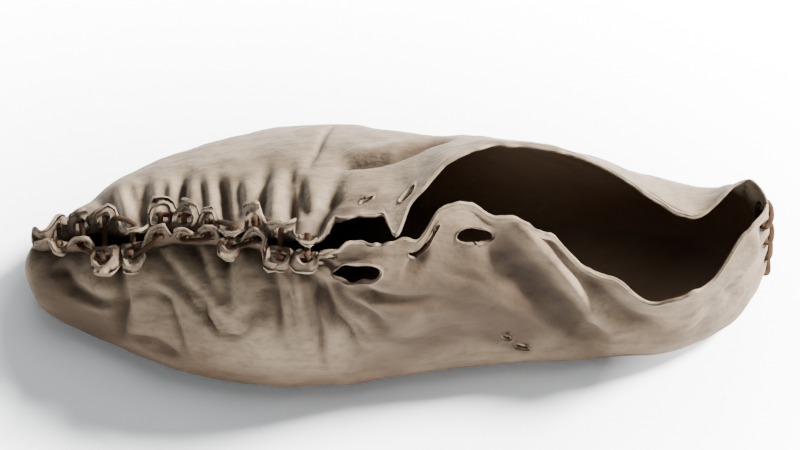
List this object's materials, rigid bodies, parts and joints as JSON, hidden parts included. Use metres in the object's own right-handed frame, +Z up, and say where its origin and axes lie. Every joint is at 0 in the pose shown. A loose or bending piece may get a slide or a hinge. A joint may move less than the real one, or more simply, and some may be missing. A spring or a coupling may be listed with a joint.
{
  "type": "ancient hide shoe",
  "caption": "Ancient one-piece hide shoe: sole and upper wrapped from one hide, gathered and laced with a thong along the front seam and closed by a second thong at the heel.",
  "frame": {"origin": "on the ground under the middle of the shoe's box", "axes": "+X towards the heel along the shoe's length, -X towards the toe, -Y the medial (inner) side, +Y the lateral side, +Z up"},
  "size_m": [0.2446, 0.0944, 0.0692],
  "materials": {
    "hide": "dry, dull, stiff old hide, creased, grey-beige with brown in the folds",
    "thong": "dry, dull narrow hide thong"
  },
  "bodies": {
    "root": {"hide_sole_and_upper": "hide", "front_thong": "thong", "heel_thong": "thong"}
  },
  "joints": []
}
